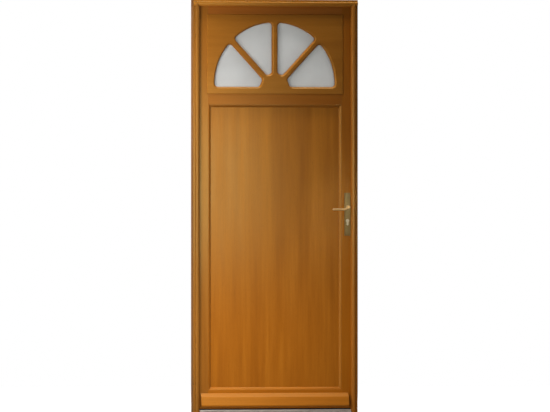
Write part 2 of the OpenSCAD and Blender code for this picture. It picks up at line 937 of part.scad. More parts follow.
module fan_panel_outer() {
    color(wood) {
        fan_face(fan_proud + fan_lap_t);
        difference() {
            slab([-open_x, open_x], [leaf_y, glass_y + unit_t], [fan_foot + fan_lap, fan_top - fan_lap]);
            glass_plate([leaf_y - cut, glass_y + unit_t + cut], glass_play);
        }
    }
}

module fan_panel_inner() {
    color(wood) on_inside() fan_face(fan_proud + fan_lap_t);
}

module glass_outer() {
    color(glass_tint) glass_plate([glass_y, glass_y + glass_t], 0);
}

module glass_inner() {
    color(glass_tint) glass_plate([glass_y + unit_t - glass_t, glass_y + unit_t], 0);
}

module glazing_spacer() {
    y = [glass_y + glass_t, glass_y + unit_t - glass_t];
    color(metal_steel) difference() {
        glass_plate(y, 0);
        glass_plate([y[0] - cut, y[1] + cut], -spacer_w);
    }
}

// Weatherboard

module weatherboard() {
    length = 2 * sight_x - drip_end_gap - drip_lock_gap;
    mid_x = (drip_end_gap - drip_lock_gap) / 2;
    foot = leaf_foot + drip_rise;
    color(wood_light) translate([mid_x, leaf_y, foot]) along_x(length) difference() {
        union() {
            polygon([
                [0, 0], [0, drip_h], [-drip_slope_w, drip_h - drip_slope_h],
                [-drip_w, drip_nose_r], [-drip_w + drip_nose_r, 0]
            ]);
            translate([-drip_w + drip_nose_r, drip_nose_r]) circle(drip_nose_r);
        }
        translate([-drip_w / 2, 0]) circle(d = throat_d);
    }
}

// Lock

// The pocket for the lock's case and faceplate in the stile
module lock_pocket() {
    slab([case_x0, leaf_x], [mid_y - case_t / 2, mid_y + case_t / 2], [case_foot, case_top]);
    faceplate_outline([case_x1, leaf_x + cut]);
}

module faceplate_outline(x) {
    slab(
        x,
        [mid_y - faceplate_w / 2, mid_y + faceplate_w / 2],
        [faceplate_z - faceplate_h / 2, faceplate_z + faceplate_h / 2]
    );
}

module lock_case() {
    color(metal_steel) difference() {
        slab([case_x0, case_x1], [mid_y - case_t / 2, mid_y + case_t / 2], [case_foot, case_top]);
        slab(
            [case_x0 + case_wall, case_x1 + cut],
            [mid_y - case_t / 2 + case_wall, mid_y + case_t / 2 - case_wall],
            [case_foot + case_wall, case_top - case_wall]
        );
        bar_y(lock_x, lever_z, [mid_y - case_t, mid_y + case_t], 2 * (follower_r + run_gap));
        cylinder_shape([mid_y - case_t, mid_y + case_t], fit_gap);
    }
}

// The way through the faceplate for a bolt
module bolt_window(z) {
    slab(
        [case_x1 - cut, leaf_x + cut],
        [mid_y - bolt_t / 2 - fit_gap, mid_y + bolt_t / 2 + fit_gap],
        [z - bolt_h / 2 - fit_gap, z + bolt_h / 2 + fit_gap]
    );
}

module faceplate_screw_shapes() {
    for (side = [-1, 1])
        translate([leaf_x, mid_y, faceplate_z + side * (faceplate_h / 2 - case_screw_edge)])
            rotate([0, 90, 0]) screw(case_screw_d, case_screw_l);
}

module lock_faceplate() {
    color(metal_gold) difference() {
        faceplate_outline([case_x1, leaf_x]);
        bolt_window(latch_z);
        bolt_window(bolt_z);
        faceplate_screw_shapes();
        cylinder_screw_shape();
    }
}

module faceplate_screws() {
    color(metal_gold) faceplate_screw_shapes();
}

// The follower's arm at rest leans towards the latch bolt, and draws it in by the lug on its tail
latch_lug_x = lock_x + latch_lug_rise * tan(follower_arm_angle)
    - follower_arm_w / 2 / cos(follower_arm_angle) - follower_arm_gap - latch_lug_w;

module latch_bolt() {
    head_x = leaf_x - latch_head_l;
    tip_x = leaf_x + latch_throw;
    tail_z = latch_z + bolt_h / 2 - latch_tail_h;
    color(metal_steel) {
        translate([0, 0, latch_z - bolt_h / 2]) linear_extrude(bolt_h) polygon([
            [head_x, mid_y - bolt_t / 2], [leaf_x, mid_y - bolt_t / 2],
            [tip_x, mid_y + bolt_t / 2 - latch_bevel_flat], [tip_x, mid_y + bolt_t / 2],
            [head_x, mid_y + bolt_t / 2]
        ]);
        slab(
            [latch_lug_x, leaf_x],
            [mid_y - latch_tail_t / 2, mid_y + latch_tail_t / 2],
            [tail_z, tail_z + latch_tail_h]
        );
        slab(
            [latch_lug_x, latch_lug_x + latch_lug_w],
            [mid_y - latch_tail_t / 2, mid_y + latch_tail_t / 2],
            [lever_z + latch_lug_rise, tail_z + latch_tail_h]
        );
    }
}

module dead_bolt() {
    color(metal_steel) slab(
        [leaf_x - bolt_l, leaf_x],
        [mid_y - bolt_t / 2, mid_y + bolt_t / 2],
        [bolt_z - bolt_h / 2, bolt_z + bolt_h / 2]
    );
}

module spindle_bar(y, side) {
    slab([lock_x - side / 2, lock_x + side / 2], y, [lever_z - side / 2, lever_z + side / 2]);
}

module lock_follower() {
    y = [mid_y - case_t / 2, mid_y + case_t / 2];
    color(metal_steel) difference() {
        union() {
            bar_y(lock_x, lever_z, y, 2 * follower_r);
            translate([lock_x, mid_y - latch_tail_t / 2, lever_z]) rotate([0, follower_arm_angle, 0])
                translate([-follower_arm_w / 2, 0, 0]) cube([follower_arm_w, latch_tail_t, follower_arm_l]);
        }
        spindle_bar([y[0] - cut, y[1] + cut], spindle_side + 2 * run_gap);
    }
}

// Profile cylinder

// The cylinder's outline, a round head over a web, between two depths
module cylinder_shape(y, gap) {
    bar_y(lock_x, cylinder_z, y, 2 * (cylinder_r + gap));
    slab(
        [lock_x - cylinder_web_w / 2 - gap, lock_x + cylinder_web_w / 2 + gap],
        y,
        [cylinder_z - cylinder_drop + cylinder_web_w / 2, cylinder_z]
    );
    bar_y(lock_x, cylinder_z - cylinder_drop + cylinder_web_w / 2, y, cylinder_web_w + 2 * gap);
}

cylinder_y = [leaf_y - plate_t - cylinder_proud, leaf_y + leaf_t + plate_t + cylinder_proud];
cam_y = [mid_y - cam_t / 2, mid_y + cam_t / 2];

module cylinder_screw_shape() {
    translate([leaf_x, mid_y, cylinder_z - cylinder_screw_drop]) rotate([0, 90, 0])
        screw(cylinder_screw_d, backset + cylinder_web_w / 2);
}

module cylinder_housing() {
    color(metal_gold) difference() {
        cylinder_shape(cylinder_y, 0);
        bar_y(lock_x, cylinder_z, [cylinder_y[0] - cut, cylinder_y[1] + cut], 2 * (plug_r + run_gap));
        slab(
            [lock_x - cam_reach, lock_x + cam_reach],
            [cam_y[0] - pass_gap, cam_y[1] + pass_gap],
            [cylinder_z - cam_reach - pass_gap, cylinder_z + cam_reach]
        );
        cylinder_screw_shape();
    }
}

module cylinder_plug() {
    y = [cylinder_y[0] - pass_gap, cam_y[0] - run_gap];
    color(metal_gold) difference() {
        bar_y(lock_x, cylinder_z, y, 2 * plug_r);
        slab(
            [lock_x - keyway_w / 2, lock_x + keyway_w / 2],
            [y[0] - cut, y[0] + keyway_l],
            [cylinder_z - keyway_h / 2, cylinder_z + keyway_h / 2]
        );
    }
}

module cylinder_plugs() {
    cylinder_plug();
    on_inside() cylinder_plug();
}

module cylinder_cam() {
    color(metal_steel) {
        bar_y(lock_x, cylinder_z, cam_y, 2 * cam_r);
        intersection() {
            bar_y(lock_x, cylinder_z, cam_y, 2 * cam_reach);
            slab(
                [lock_x - cam_tooth_w / 2, lock_x + cam_tooth_w / 2],
                cam_y,
                [cylinder_z - cam_reach, cylinder_z]
            );
        }
    }
}

module cylinder_screw() {
    color(metal_steel) cylinder_screw_shape();
}

// Lever set

module backplate_bolt_bars(d) {
    for (side = [-1, 1])
        bar_y(
            lock_x, plate_z + side * plate_screw_span / 2,
            [leaf_y - plate_screw_in, leaf_y + leaf_t + plate_t], d
        );
}

// Backplate on the outer face, with a collar round the lever's neck
module backplate() {
    face = leaf_y - plate_t;
    difference() {
        union() {
            translate([lock_x, face, plate_z - plate_h / 2])
                chamfered_board(plate_w, plate_h, plate_t, plate_chamfer);
            bar_y(lock_x, lever_z, [face - collar_h, leaf_y], collar_d);
        }
        bar_y(lock_x, lever_z, [face - collar_h - cut, leaf_y + cut], neck_d + 2 * run_gap);
        cylinder_shape([face - cut, leaf_y + cut], fit_gap);
        backplate_bolt_bars(plate_screw_d);
    }
}

module outer_backplate() {
    color(metal_gold) backplate();
}

module inner_backplate() {
    color(metal_gold) difference() {
        on_inside() backplate();
        backplate_screw_shapes();
    }
}

module backplate_screw_shapes() {
    for (side = [-1, 1])
        translate([lock_x, leaf_y + leaf_t + plate_t, plate_z + side * plate_screw_span / 2])
            rotate([-90, 0, 0]) screw(plate_screw_d, leaf_t + plate_t + plate_screw_in);
}

module backplate_screws() {
    color(metal_gold) backplate_screw_shapes();
}

// Stations along a grip: shares of its length, of its drop and of its section
grip_steps = 22;
grip_sides = 16;
function smooth(t) = let (s = min(max(t, 0), 1)) s * s * (3 - 2 * s);
grip_bend_shares = [0.02, 0.34];
grip_root_scale = 1.3;

function grip_station(k) =
    let (
        t = k / grip_steps,
        bent = smooth((t - grip_bend_shares[0]) / (grip_bend_shares[1] - grip_bend_shares[0])),
        start = neck_d / 2,
        x = start - (start + lever_l) * t,
        ends = min(t, 1 - t) / grip_tip_share,
        swell = ends < 1 ? sqrt(1 - (1 - ends) * (1 - ends)) : 1,
        scale = max(swell, grip_tip_share) * (grip_root_scale - (grip_root_scale - 1) * bent)
    )
    [x, -lever_drop * bent, scale];

// Grip as a loft of ovals along X, with its axis point at the origin
module grip() {
    rings = [
        for (k = [0 : grip_steps]) let (s = grip_station(k))
            [for (j = [0 : grip_sides - 1]) let (a = 360 * j / grip_sides)
                [s[0], grip_d / 2 * s[2] * cos(a), s[1] + grip_h / 2 * s[2] * sin(a)]]
    ];
    n = grip_sides;
    points = [for (ring = rings) each ring];
    skin = [
        for (k = [0 : grip_steps - 1]) for (j = [0 : n - 1])
            let (m = (j + 1) % n) [k * n + j, k * n + m, (k + 1) * n + m, (k + 1) * n + j]
    ];
    start_cap = [for (j = [0 : n - 1]) n - 1 - j];
    end_cap = [for (j = [0 : n - 1]) grip_steps * n + j];
    polyhedron(points, concat(skin, [start_cap, end_cap]), convexity = 4);
}

// Lever on the outer face: a round neck in the backplate and a grip towards the hinges
module lever() {
    grip_y = leaf_y - lever_reach;
    difference() {
        union() {
            bar_y(lock_x, lever_z, [grip_y, leaf_y], neck_d);
            translate([lock_x, grip_y, lever_z]) grip();
        }
        spindle_bar([leaf_y - spindle_in - run_gap, leaf_y + cut], spindle_side + 2 * run_gap);
    }
}

module outer_lever() {
    color(metal_gold) lever();
}

module inner_lever() {
    color(metal_gold) on_inside() lever();
}

module spindle() {
    color(metal_steel) spindle_bar([leaf_y - spindle_in, leaf_y + leaf_t + spindle_in], spindle_side);
}

// Pieces

hinge_jamb();
lock_jamb();
frame_head();
threshold();
mirror([1, 0, 0]) jamb_gasket();  // hinge_jamb_gasket
jamb_gasket();  // lock_jamb_gasket
head_gasket();
strike_plate();
strike_screws();
for (i = [0 : 2]) {
    hinge_frame_half(hinge_heights[i]);
    hinge_leaf_half(hinge_heights[i]);
    hinge_pin(hinge_heights[i]);
}
hinge_washers();
hinge_frame_screws();
hinge_leaf_screws();
hinge_stile();
lock_stile();
top_rail();
middle_rail();
bottom_rail();
lower_panel();
for (s = sides) {
    outer_bead(s);
    on_inside() outer_bead(s);
}
fan_panel_outer();
fan_panel_inner();
glass_outer();
glass_inner();
glazing_spacer();
weatherboard();
bottom_sweep();
lock_case();
lock_faceplate();
faceplate_screws();
latch_bolt();
dead_bolt();
lock_follower();
cylinder_housing();
cylinder_plugs();
cylinder_cam();
cylinder_screw();
outer_backplate();
inner_backplate();
backplate_screws();
outer_lever();
inner_lever();
spindle();
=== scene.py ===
import json
import math

import bmesh
import bpy
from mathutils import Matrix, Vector


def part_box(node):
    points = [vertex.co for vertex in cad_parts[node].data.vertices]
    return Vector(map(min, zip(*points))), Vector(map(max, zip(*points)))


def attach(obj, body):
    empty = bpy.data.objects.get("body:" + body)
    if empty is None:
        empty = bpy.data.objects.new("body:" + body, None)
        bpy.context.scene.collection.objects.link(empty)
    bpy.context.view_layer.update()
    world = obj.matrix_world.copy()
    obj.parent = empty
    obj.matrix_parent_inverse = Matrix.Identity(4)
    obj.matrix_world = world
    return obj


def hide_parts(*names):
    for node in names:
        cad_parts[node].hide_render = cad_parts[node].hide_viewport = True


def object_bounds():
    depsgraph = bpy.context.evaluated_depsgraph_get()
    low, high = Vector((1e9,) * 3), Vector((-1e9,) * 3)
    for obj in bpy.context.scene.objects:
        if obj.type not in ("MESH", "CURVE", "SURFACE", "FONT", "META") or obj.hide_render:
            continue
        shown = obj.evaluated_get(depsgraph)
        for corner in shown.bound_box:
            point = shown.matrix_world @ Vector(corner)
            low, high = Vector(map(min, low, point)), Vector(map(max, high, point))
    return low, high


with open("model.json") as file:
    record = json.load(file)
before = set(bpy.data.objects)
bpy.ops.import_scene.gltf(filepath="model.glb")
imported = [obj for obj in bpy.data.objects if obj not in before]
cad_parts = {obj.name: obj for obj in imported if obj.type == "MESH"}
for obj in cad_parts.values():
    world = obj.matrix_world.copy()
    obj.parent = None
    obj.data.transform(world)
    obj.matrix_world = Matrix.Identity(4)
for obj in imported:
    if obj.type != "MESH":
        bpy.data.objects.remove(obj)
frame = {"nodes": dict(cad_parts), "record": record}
CAD_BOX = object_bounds()

# The floor and the front face of the door, in metres
FLOOR_Z = Vector(CAD_BOX[0]).z
FRONT_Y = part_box("frame_head")[0].y

# The photograph's frame, in pixels, and the size of one pixel on the front of the door
IMAGE_W = 550
IMAGE_H = 412
PIXEL = 0.00517
DOOR_CENTRE_PX = 276.0
FLOOR_PY = 413.5


# Node helpers


def new_material(name):
    """A material that holds one principled shader, with the tree and the shader."""
    material = bpy.data.materials.new(name)
    material.use_nodes = True
    tree = material.node_tree
    tree.nodes.clear()
    output = tree.nodes.new("ShaderNodeOutputMaterial")
    shader = tree.nodes.new("ShaderNodeBsdfPrincipled")
    tree.links.new(shader.outputs["BSDF"], output.inputs["Surface"])
    return material, tree, shader


def feed(tree, socket, value):
    """Links a socket to another, or sets its own value."""
    if isinstance(value, bpy.types.NodeSocket):
        tree.links.new(value, socket)
    else:
        socket.default_value = value


def add(tree, kind, inputs=None, **settings):
    """A new node with its settings, and its inputs linked or set."""
    made = tree.nodes.new(kind)
    for key, value in settings.items():
        setattr(made, key, value)
    for key, value in (inputs or {}).items():
        feed(tree, made.inputs[key], value)
    return made


def object_place(tree):
    """The place on the piece, in the part's own frame."""
    return add(tree, "ShaderNodeTexCoord").outputs["Object"]


def math_node(tree, operation, a, b):
    return add(tree, "ShaderNodeMath", {0: a, 1: b}, operation=operation).outputs[0]


def weighted(tree, parts):
    """The sum of some values, each times its share."""
    total = math_node(tree, "MULTIPLY", *parts[0])
    for value, share in parts[1:]:
        total = math_node(tree, "ADD", total, math_node(tree, "MULTIPLY", value, share))
    return total


def noise(tree, place, scale, detail, roughness=0.5):
    return add(
        tree,
        "ShaderNodeTexNoise",
        {"Vector": place, "Scale": scale, "Detail": detail, "Roughness": roughness},
    ).outputs["Fac"]


def scaled(tree, place, scale):
    return add(tree, "ShaderNodeMapping", {"Vector": place, "Scale": scale}).outputs["Vector"]


def remap(tree, value, low, high, to_low, to_high):
    """The value's range low to high, spread over another range and held there."""
    return add(
        tree,
        "ShaderNodeMapRange",
        {"Value": value, "From Min": low, "From Max": high, "To Min": to_low, "To Max": to_high},
    ).outputs["Result"]


def ramp(tree, value, stops):
    """A colour for each value, from (place, colour) stops."""
    made = add(tree, "ShaderNodeValToRGB", {"Fac": value})
    elements = made.color_ramp.elements
    while len(elements) < len(stops):
        elements.new(1)
    for element, (place, colour) in zip(elements, stops):
        element.position = place
        element.color = (*colour, 1)
    return made.outputs["Color"]


def mix_colour(tree, share, a, b):
    made = add(tree, "ShaderNodeMix", data_type="RGBA")
    colours = [socket for socket in made.inputs if socket.type == "RGBA"]
    feed(tree, made.inputs["Factor"], share)
    feed(tree, colours[0], a)
    feed(tree, colours[1], b)
    return [socket for socket in made.outputs if socket.type == "RGBA"][0]


def bump(tree, height, distance, strength, normal=None):
    inputs = {"Height": height, "Distance": distance, "Strength": strength}
    if normal is not None:
        inputs["Normal"] = normal
    return add(tree, "ShaderNodeBump", inputs).outputs["Normal"]


BEVEL_SAMPLES = 4


def soft_edges(tree, radius):
    """A normal that rounds the piece's own edges."""
    return add(tree, "ShaderNodeBevel", {"Radius": radius}, samples=BEVEL_SAMPLES).outputs["Normal"]


# The part of a noise's range that most of its values lie in
NOISE_RANGE = (0.3, 0.7)


# Wood

UPRIGHT = "upright"
LEVEL = "level"

# Each layer of the figure: its share of scale along the grain, then the noise's scale, detail, roughness
BANDS = (0.05, 15, 1, 0.5)
STREAKS = (0.05, 52, 4, 0.55)
FIBRES = (0.012, 480, 4, 0.65)
PORES = (0.05, 950, 1, 0.5)
BAND_SHARE = 0.46
STREAK_SHARE = 0.38
FIBRE_SHARE = 0.16
PORE_SHARE = 0.28
PORE_RANGE = (0.63, 0.72)

WOOD_MID = (0.400, 0.117, 0.0070)
STAINS = (
    (0.25, (0.310, 0.084, 0.0042)),
    (0.50, WOOD_MID),
    (0.75, (0.490, 0.158, 0.0120)),
)
PORE = (0.140, 0.036, 0.0025, 1)
END_GRAIN = (0.200, 0.060, 0.0045, 1)
END_FACING = (0.80, 0.95)
END_SHARE = 0.8

WOOD_ROUGHNESS = (0.34, 0.44)
VARNISH_LEVEL = 1.0
VARNISH_TINT = (1.0, 0.76, 0.26, 1.0)
GRAIN_DEPTH = 0.0003
GRAIN_STRENGTH = 0.18
ARRIS = 0.0012


def grain_layer(tree, place, grain, layer):
    """One layer of the figure: a noise drawn out along the grain."""
    stretch, scale, detail, roughness = layer
    shares = (1, 1, stretch) if grain == UPRIGHT else (stretch, 1, 1)
    return noise(tree, scaled(tree, place, shares), scale, detail, roughness)


def stain(colour, wood_tone_and_painted_light, contrast):
    """A stain between the middle colour and another, in the piece's tone, which holds painted light and
    shade as well as the wood's own shade.
    """
    drawn = (mid + (channel - mid) * contrast for mid, channel in zip(WOOD_MID, colour))
    # The tone brightens or darkens the stain as painted light and shade, and raises its blue as a painted
    # sheen on some pieces.
    return tuple(max(channel, 0) * share for channel, share in zip(drawn, wood_tone_and_painted_light))


def wood(name, grain, shift, wood_tone_and_painted_light, contrast):
    """Stained and varnished wood: broad bands, streaks, fibres and pores along the grain."""
    material, tree, shader = new_material(name)
    source = add(tree, "ShaderNodeTexCoord")
    place = add(
        tree, "ShaderNodeVectorMath", {0: source.outputs["Object"], 1: shift}, operation="ADD"
    ).outputs["Vector"]

    bands = grain_layer(tree, place, grain, BANDS)
    streaks = grain_layer(tree, place, grain, STREAKS)
    fibres = grain_layer(tree, place, grain, FIBRES)
    pores = remap(tree, grain_layer(tree, place, grain, PORES), *PORE_RANGE, 0, 1)

    figure = weighted(tree, [(bands, BAND_SHARE), (streaks, STREAK_SHARE), (fibres, FIBRE_SHARE)])
    stained = ramp(tree, figure, [(spot, stain(colour, wood_tone_and_painted_light, contrast)) for spot, colour in STAINS])
    pored = mix_colour(tree, math_node(tree, "MULTIPLY", pores, PORE_SHARE), stained, PORE)

    axis = (0, 0, 1) if grain == UPRIGHT else (1, 0, 0)
    facing = add(
        tree, "ShaderNodeVectorMath", {0: source.outputs["Normal"], 1: axis}, operation="DOT_PRODUCT"
    ).outputs["Value"]
    across = remap(tree, math_node(tree, "ABSOLUTE", facing, 0), *END_FACING, 0, END_SHARE)
    feed(tree, shader.inputs["Base Color"], mix_colour(tree, across, pored, END_GRAIN))

    feed(tree, shader.inputs["Roughness"], remap(tree, streaks, *NOISE_RANGE, *WOOD_ROUGHNESS))
    shader.inputs["Specular IOR Level"].default_value = VARNISH_LEVEL
    shader.inputs["Specular Tint"].default_value = VARNISH_TINT
    relief = math_node(tree, "SUBTRACT", fibres, pores)
    rounded = soft_edges(tree, ARRIS)
    feed(tree, shader.inputs["Normal"], bump(tree, relief, GRAIN_DEPTH, GRAIN_STRENGTH, rounded))
    return material


# Metals, rubber and glass

ALONG_X = (0.02, 1, 1)
ALONG_Z = (1, 1, 0.02)

# The scale, detail and roughness of each noise, and the depth and strength of its relief
BRUSH_NOISE = (900, 4, 0.6)
CLOUD_NOISE = (28, 3)
BRUSH_SHARE = 0.6
CLOUD_SHARE = 0.4
METAL_RANGE = (0.35, 0.65)
METAL_EDGE = 0.0004
BRUSH_RELIEF = (0.00006, 0.35)

DUST_NOISE = (160, 4, 0.6)
DUST_STOPS = ((0.3, (0.008, 0.007, 0.006)), (0.75, (0.030, 0.026, 0.022)))
DUST_RELIEF = (0.0002, 0.3)
RUBBER_ROUGHNESS = (0.55, 0.75)

GLASS_IOR = 1.5
GRIT_NOISE = (700, 3, 0.6)
GRIT_RELIEF = (0.00005, 0.2)
HAZE_NOISE = (9, 2)
HAZE_STOPS = ((0.3, (0.76, 0.755, 0.735)), (0.7, (0.82, 0.815, 0.795)))
FROST_ROUGHNESS = (0.50, 0.62)
FROST_TRANSMISSION = 0.48
FILM_NOISE = (14, 3)
FILM_STOPS = ((0.3, (0.88, 0.91, 0.89)), (0.7, (0.92, 0.94, 0.92)))
CLEAR_ROUGHNESS = (0.02, 0.06)
CLEAR_TRANSMISSION = 1.0


def brushed_metal(name, dark, pale, along, roughness, metallic=1.0, edge=METAL_EDGE):
    """Satin metal with fine brush marks along one direction."""
    material, tree, shader = new_material(name)
    place = object_place(tree)
    brush = noise(tree, scaled(tree, place, along), *BRUSH_NOISE)
    cloud = noise(tree, place, *CLOUD_NOISE)
    blend = weighted(tree, [(brush, BRUSH_SHARE), (cloud, CLOUD_SHARE)])
    feed(tree, shader.inputs["Base Color"], ramp(tree, blend, list(zip(METAL_RANGE, (dark, pale)))))
    shader.inputs["Metallic"].default_value = metallic
    feed(tree, shader.inputs["Roughness"], remap(tree, blend, *NOISE_RANGE, *roughness))
    feed(tree, shader.inputs["Normal"], bump(tree, brush, *BRUSH_RELIEF, soft_edges(tree, edge)))
    return material


def rubber(name):
    """Black rubber with a little dust on it."""
    material, tree, shader = new_material(name)
    dust = noise(tree, object_place(tree), *DUST_NOISE)
    feed(tree, shader.inputs["Base Color"], ramp(tree, dust, DUST_STOPS))
    feed(tree, shader.inputs["Roughness"], remap(tree, dust, *NOISE_RANGE, *RUBBER_ROUGHNESS))
    feed(tree, shader.inputs["Normal"], bump(tree, dust, *DUST_RELIEF))
    return material


def frosted_glass(name):
    """Satin glass: a matt face that glows with the light behind it."""
    material, tree, shader = new_material(name)
    place = object_place(tree)
    grit = noise(tree, place, *GRIT_NOISE)
    haze = noise(tree, place, *HAZE_NOISE)
    feed(tree, shader.inputs["Base Color"], ramp(tree, haze, HAZE_STOPS))
    feed(tree, shader.inputs["Roughness"], remap(tree, grit, *NOISE_RANGE, *FROST_ROUGHNESS))
    shader.inputs["Transmission Weight"].default_value = FROST_TRANSMISSION
    shader.inputs["IOR"].default_value = GLASS_IOR
    feed(tree, shader.inputs["Normal"], bump(tree, grit, *GRIT_RELIEF))
    return material


def clear_glass(name):
    """Clear glass with a faint film on it."""
    material, tree, shader = new_material(name)
    film = noise(tree, object_place(tree), *FILM_NOISE)
    feed(tree, shader.inputs["Base Color"], ramp(tree, film, FILM_STOPS))
    feed(tree, shader.inputs["Roughness"], remap(tree, film, *NOISE_RANGE, *CLEAR_ROUGHNESS))
    shader.inputs["Transmission Weight"].default_value = CLEAR_TRANSMISSION
    shader.inputs["IOR"].default_value = GLASS_IOR
    return material


# Dressing the carried pieces

SHIFT_STEP = Vector((0.37, 0.53, 0.71))
WOOD_SLOTS = ("frame_wood", "leaf_wood", "panel_wood")
UPRIGHT_WOODS = (
    "hinge_jamb",
    "lock_jamb",
    "hinge_stile",
    "lock_stile",
    "lower_panel",
    "outer_bead_hinge",
    "outer_bead_lock",
    "inner_bead_hinge",
    "inner_bead_lock",
)

# The tone of each piece as shares of red, green and blue: partly the wood's own shade, partly painted
# light and shade for how light falls on the piece, as in the brighter weatherboard and bottom bead, the
# darker lock bead, and a painted highlight in the raised green and blue of the frame head and hinge jamb
EVEN_TONE = (1.0, 1.0, 1.0)
WOOD_TONES_AND_PAINTED_LIGHT = {
    "frame_head": (1.25, 1.48, 2.20),
    "hinge_jamb": (0.88, 1.08, 2.20),
    "lock_jamb": (0.93, 0.96, 1.30),
    "hinge_stile": (0.89, 0.98, 1.50),
    "lock_stile": (1.04, 1.00, 0.60),
    "top_rail": (0.97, 0.90, 1.50),
    "middle_rail": (0.85, 0.75, 0.50),
    "bottom_rail": (1.06, 1.00, 0.60),
    "fan_panel_outer": (0.97, 1.10, 1.50),
    "lower_panel": (1.04, 1.03, 0.85),
    "outer_bead_lock": (0.87, 0.87, 0.87),
    "outer_bead_top": (0.85, 0.85, 0.85),
    "outer_bead_bottom": (1.32, 1.32, 1.32),
    "weatherboard": (1.38, 1.44, 1.45),
}

# The contrast of the figure of a piece that shows more or less of it than the rest
EVEN_CONTRAST = 1.0
CONTRASTS = {
    "frame_head": 0.6,
    "hinge_jamb": 0.5,
    "lock_jamb": 0.5,
    "lower_panel": 1.4,
}

# Each metal: its darker and paler colour, the way it is brushed and its range of roughness
METALS = {
    "threshold": brushed_metal(
        "threshold_aluminium",
        (0.56, 0.50, 0.44),
        (0.74, 0.67, 0.60),
        ALONG_X,
        (0.42, 0.56),
        metallic=0.3,
    ),
    "spacer": brushed_metal(
        "spacer_aluminium", (0.50, 0.50, 0.50), (0.64, 0.64, 0.64), ALONG_X, (0.35, 0.50)
    ),
    "steel": brushed_metal(
        "zinc_steel", (0.42, 0.42, 0.41), (0.58, 0.58, 0.56), ALONG_Z, (0.30, 0.44)
    ),
    "lever_brass": brushed_metal(
        "lever_metal", (0.80, 0.52, 0.19), (0.95, 0.68, 0.30), ALONG_X, (0.30, 0.38)
    ),
    "plate_bronze": brushed_metal(
        "plate_metal",
        (0.285, 0.195, 0.070),
        (0.36, 0.250, 0.092),
        ALONG_Z,
        (0.34, 0.46),
        edge=0.0015,
    ),
    "fittings_brass": brushed_metal(
        "fittings_metal", (0.63, 0.56, 0.34), (0.80, 0.72, 0.46), ALONG_Z, (0.26, 0.40)
    ),
}
FROSTED = frosted_glass("frosted_glass")
CLEAR = clear_glass("clear_glass")
SEAL = rubber("black_rubber")


def dress(node, material):
    mesh = frame["nodes"][node].data
    mesh.materials.clear()
    mesh.materials.append(material)


def material_for(node, slot, index):
    if slot in WOOD_SLOTS:
        grain = UPRIGHT if node in UPRIGHT_WOODS else LEVEL
        # The piece's tone: its wood's own shade together with painted light and shade.
        wood_tone_and_painted_light = WOOD_TONES_AND_PAINTED_LIGHT.get(node, EVEN_TONE)
        contrast = CONTRASTS.get(node, EVEN_CONTRAST)
        return wood(node + "_wood", grain, SHIFT_STEP * index, wood_tone_and_painted_light, contrast)
    if slot == "glass":
        return FROSTED if node == "glass_outer" else CLEAR
    if slot == "seal":
        return SEAL
    return METALS[slot]


for index, subpart in enumerate(frame["record"]["subparts"]):
    name = subpart["node"]
    dress(name, material_for(name, subpart["material_slot"], index))


# Smooth pieces that stand for faceted solids


def add_piece(name, mesh, node, body):
    """A new piece that stands for a solid, rides on its body and takes its finish."""
    data = bpy.data.meshes.new(name)
    mesh.to_mesh(data)
    mesh.free()
    piece = bpy.data.objects.new(name, data)
    bpy.context.scene.collection.objects.link(piece)
    data.materials.append(frame["nodes"][node].data.materials[0])
    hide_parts(node)
    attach(piece, body)


# Edges that turn more than this stay sharp: the first beside a flat face, the second in the moulding
PANEL_CREASE = math.radians(12)
ROUND_CREASE = math.radians(42)
FLAT_SHARE = 0.999
FLAT_ANGLE = math.radians(0.1)
WELD = 1e-5


def smooth_panel(node, body):
    """The solid's own form with its moulding shaded smooth, and its faces kept flat."""
    mesh = bmesh.new()
    mesh.from_mesh(frame["nodes"][node].data)
    bmesh.ops.remove_doubles(mesh, verts=mesh.verts, dist=WELD)
    bmesh.ops.dissolve_limit(
        mesh, angle_limit=FLAT_ANGLE, verts=mesh.verts, edges=mesh.edges, delimit={"NORMAL"}
    )
    bmesh.ops.triangulate(mesh, faces=mesh.faces)
    mesh.normal_update()
    for face in mesh.faces:
        face.smooth = True
    for edge in mesh.edges:
        flats = [max(abs(c) for c in face.normal) > FLAT_SHARE for face in edge.link_faces]
        limit = PANEL_CREASE if any(flats) else ROUND_CREASE
        edge.smooth = len(flats) == 2 and edge.calc_face_angle(0) < limit
    add_piece(node + "_smooth", mesh, node, body)


# The lever's round neck, elbow, drop, grip and tip, with lengths in metres
NECK_R = 0.0080
ELBOW_R = 0.0095
BEND_L = 0.0246
LEVER_DROP = 0.012
GRIP_HALF_D = 0.0050
GRIP_HALF_H = 0.0055
ROOT_SCALE = 1.3
TIP_L = 0.0077
TIP_SHARE = 0.08
NECK_SHARES = (0, 0.5)
ELBOW_STEPS = 14
GRIP_STEPS = 44
LEVER_SIDES = 36
LEVER_CREASE = math.radians(60)


def eased(share):
    held = min(max(share, 0), 1)
    return held * held * (3 - 2 * held)


def grip_section(x, tip_x):
    """Drop, half depth and half height of the lever's grip at a distance along it."""
    bent = eased(-x / BEND_L)
    ends = min((x - tip_x) / TIP_L, 1)
    swell = max(math.sqrt(max(1 - (1 - ends) ** 2, 0)), TIP_SHARE)
    scale = swell * (ROOT_SCALE - (ROOT_SCALE - 1) * bent)
    return LEVER_DROP * bent, GRIP_HALF_D * scale, GRIP_HALF_H * scale


